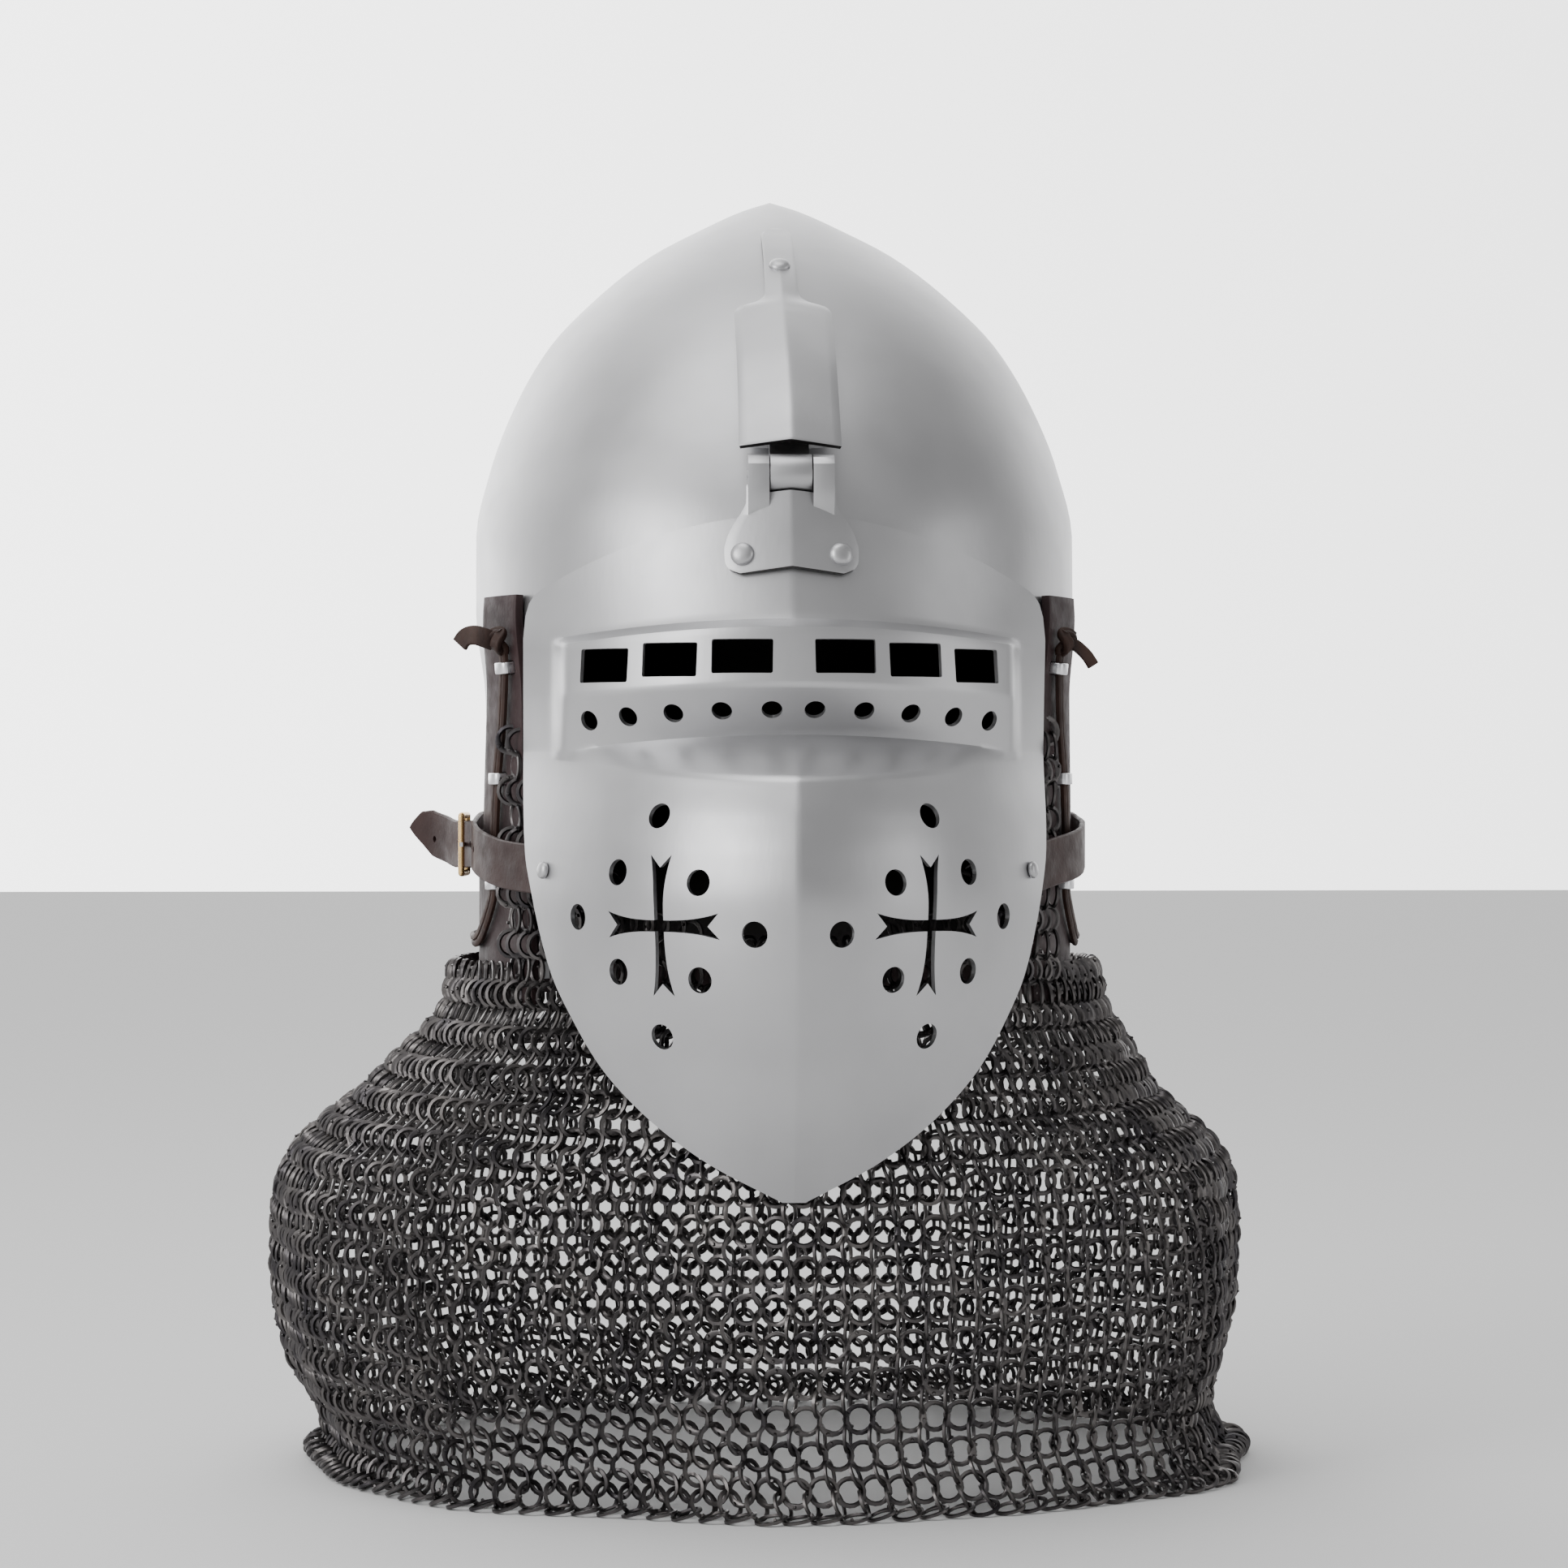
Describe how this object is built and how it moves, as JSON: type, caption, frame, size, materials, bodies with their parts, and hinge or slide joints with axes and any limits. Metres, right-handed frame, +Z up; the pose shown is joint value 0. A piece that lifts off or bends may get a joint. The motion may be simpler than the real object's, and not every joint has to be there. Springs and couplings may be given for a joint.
{
  "type": "bascinet",
  "caption": "Pointed steel helmet with a front-hinged, keeled and pierced visor, a leather band laced over metal loops, a buckled strap and a mail curtain for the neck.",
  "frame": {"origin": "the seat on the wearer's head: on the skull's middle plane, 400 mm above the mail's hem and inside the crown", "axes": "+Z up through the crown, the visor faces -Y, +X is the wearer's left"},
  "size_m": [0.3687, 0.3465, 0.4837],
  "materials": {
    "steel": "satin",
    "mail_iron": "blackened and oiled",
    "band_leather": "matte",
    "strap_leather": "waxed",
    "lace_leather": "matte",
    "white_metal": "satin",
    "brass": "polished"
  },
  "bodies": {
    "root": {"skull": "steel", "visor": "steel", "hinge_base": "steel", "hinge_cover": "steel", "hinge_leaf": "steel", "hinge_pin": "steel", "cover_rivet": "steel", "leaf_rivet_left": "steel", "leaf_rivet_right": "steel", "strap_rivet_left": "steel", "strap_rivet_right": "steel", "leather_band": "band_leather", "vervelle_left_1": "white_metal", "vervelle_left_2": "white_metal", "vervelle_left_3": "white_metal", "vervelle_left_4": "white_metal", "vervelle_left_5": "white_metal", "vervelle_left_6": "white_metal", "vervelle_back": "white_metal", "vervelle_right_1": "white_metal", "vervelle_right_2": "white_metal", "vervelle_right_3": "white_metal", "vervelle_right_4": "white_metal", "vervelle_right_5": "white_metal", "vervelle_right_6": "white_metal", "lace": "lace_leather", "visor_strap_left": "strap_leather", "visor_strap_right": "strap_leather", "buckle_frame": "brass", "buckle_tongue": "white_metal", "aventail": "mail_iron"}
  },
  "joints": []
}
